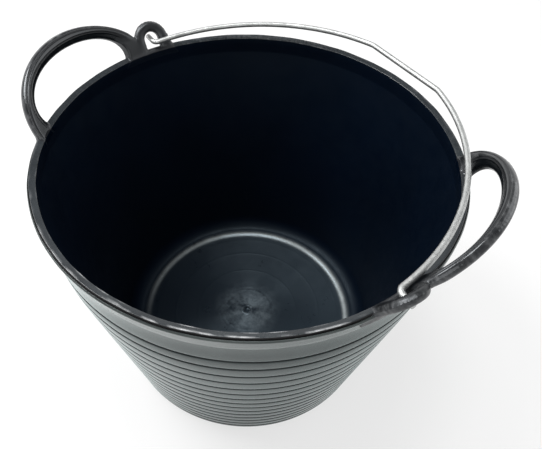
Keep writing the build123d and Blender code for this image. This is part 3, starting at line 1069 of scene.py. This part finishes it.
# %% Zinc
zinc = new_finish("galvanised_zinc")
spangle = zinc.noise(420, 3)
streak = zinc.span(zinc.noise_along("wire_run", 55, 4), 0.5, 0.75, 0, 0.5)
colour = zinc.blend(zinc.span(zinc.noise(90, 4), 0.35, 0.7), (0.52, 0.53, 0.525), (0.40, 0.41, 0.405))
zinc.put_on(
    bail,
    Base_Color=zinc.blend(streak, colour, (0.70, 0.71, 0.70)),
    Metallic=1.0,
    Roughness=zinc.span(spangle, 0.3, 0.7, 0.42, 0.58),
    Normal=zinc.bump(spangle, 0.35, 0.00015),
)

# %% [markdown]
# ## Stage, light and camera
#
# The bucket stands on a plain white floor. To the camera the floor is part white glow, more of it further
# off, so it fades into the background and keeps the shadow near the bucket. Turning up the light would
# whiten it too, but would wash out the rubber.

# %% Studio floor
floor_half = 4.0
floor_mesh = bpy.data.meshes.new("studio_floor")
floor_corners = floor_half * np.array([(-1, -1, 0), (1, -1, 0), (1, 1, 0), (-1, 1, 0)])
floor_mesh.from_pydata(floor_corners, [], [(0, 1, 2, 3)])
studio_floor = bpy.data.objects.new("studio_floor", floor_mesh)
bpy.context.scene.collection.objects.link(studio_floor)
white = new_finish("floor_white")
path = white.new("LightPath").outputs
seen = white.math("MAXIMUM", path["Is Camera Ray"], white.times(path["Is Glossy Ray"], 0.7))
seen = white.math("MAXIMUM", seen, path["Is Transmission Ray"])
spot = white.new("TexCoord").outputs["Object"]
away = white.new("VectorMath", {0: spot}, operation="LENGTH")
glowing = white.times(seen, white.span(away.outputs["Value"], 0.6, 2.2, 0.64, 1.0))
matt_sockets = {"Base Color": (0.93, 0.93, 0.93), "Roughness": 0.9, "Specular IOR Level": 0.0}
matt, glow = white.new("BsdfPrincipled", matt_sockets), white.new("Emission")
both = white.new("MixShader", {0: glowing, 1: matt.outputs[0], 2: glow.outputs[0]})
white.new("OutputMaterial", {"Surface": both.outputs[0]})
floor_mesh.materials.append(white.owner)
print("studio floor", 2 * floor_half, "m across")

# %% [markdown]
# The sky is white to the camera. As a light and in reflections it is brightest at the horizon and on one
# side, as in a room with a window, which gives the black rubber a pale band to mirror and one side that is
# darker than the other. An even sky would flatten it.

# %% Sky
scene = bpy.context.scene
scene.view_settings.view_transform = "Standard"
sky = Finish(bpy.data.worlds.new("studio_sky"))
scene.world = sky.owner
way = sky.new("TexCoord").outputs["Generated"]
bright_way = (-0.942, 0.302, 0.0)
lean = sky.new("VectorMath", {0: way, 1: bright_way}, operation="DOT_PRODUCT")
upward = sky.span(sky.new("SeparateXYZ", {"Vector": way}).outputs["Z"], 0.0, 0.7, 1.15, 0.25)
light = sky.times(upward, sky.span(lean.outputs["Value"], -1, 1, 0.55, 1.45))
shown = sky.math("MAXIMUM", light, sky.new("LightPath").outputs["Is Camera Ray"])
backdrop = sky.new("Background", {"Color": (1, 1, 1), "Strength": shown})
sky.new("OutputWorld", {"Surface": backdrop.outputs[0]})
print("sky of", len(sky.tree.nodes), "nodes")

# %% [markdown]
# Four soft round lamps shape the bucket: the strongest at its left, weak ones in front and at the right, and
# a small one above, which lights the floor inside and the bead along its edge. A single lamp would leave
# half of the black rubber without a highlight. Each is placed as seen from the camera's side.

# %% Lamps
view_turn = np.radians(27.2)


def facing(place, ahead, above):
    """Matrix that puts an object at a place, looking along ahead, with above as its upward side."""
    ahead = unit(ahead)
    right = unit(np.cross(ahead, above))
    turn = np.stack([right, np.cross(right, ahead), -ahead], 1)
    full = np.eye(4)
    full[:3, :3], full[:3, 3] = turn, place
    return Matrix(full.tolist())


def about_up(vector, turn):
    """A vector turned about Z."""
    c, s = np.cos(turn), np.sin(turn)
    return np.array([c * vector[0] - s * vector[1], s * vector[0] + c * vector[1], vector[2]])


def put_lamp(name, place, size, watts):
    """A soft round lamp, its place given as right, back and up from the camera's side, aimed near the rim."""
    data = bpy.data.lights.new(name, "AREA")
    data.shape, data.size, data.energy = "DISK", size, watts
    lamp = bpy.data.objects.new(name, data)
    scene.collection.objects.link(lamp)
    place = about_up(np.array(place), view_turn)
    lamp.matrix_world = facing(place, np.array([0, 0, 0.2]) - place, np.array([0.0, 1.0, 0.0]))
    print(name, watts, "W at", place.round(2))


put_lamp("side_lamp", (-0.92, 0.25, 1.42), 0.85, 23)
put_lamp("front_lamp", (0.0, -1.50, 0.95), 1.2, 6)
put_lamp("right_lamp", (1.35, 0.35, 0.85), 1.3, 6)
put_lamp("top_lamp", (-0.05, 0.10, 1.70), 0.55, 9)

# %% [markdown]
# The camera stands where the photograph was taken from: above the bucket, looking down steeply through a
# short lens, with the frame shifted slightly off the lens's middle. Its numbers come from fitting the rim
# and the base to the photograph: the lens in pixels, distances in rim radii, and angles in radians.

# %% Camera
image_width, image_height, sensor = 542, 449, 36.0
lens_pixels, lens_middle = 565.52, (261.60, 206.13)
view_yaw, view_pitch, view_roll = 0.0207, 0.828, 0.024
camera_back, camera_up = 1.973 * collar_radius, 1.7597 * collar_radius
level = np.array([1.0, 0, 0])
down = np.array([0, np.cos(view_pitch), -np.sin(view_pitch)])
ahead = np.cos(view_yaw) * down + np.sin(view_yaw) * level
right = np.cos(view_yaw) * level - np.sin(view_yaw) * down
above = np.cos(view_roll) * np.cross(level, down) - np.sin(view_roll) * right
camera_place = about_up(np.array([0, -camera_back, camera_up + rim_height]), view_turn) * MM
camera_data = bpy.data.cameras.new("photo_camera")
camera_data.sensor_width = sensor
camera_data.lens = sensor * lens_pixels / image_width
camera_data.shift_x = (image_width / 2 - lens_middle[0]) / image_width
camera_data.shift_y = (lens_middle[1] - image_height / 2) / image_width
camera = bpy.data.objects.new("photo_camera", camera_data)
scene.collection.objects.link(camera)
camera.matrix_world = facing(camera_place, about_up(ahead, view_turn), about_up(above, view_turn))
scene.camera = camera
print("camera at", camera_place.round(4))
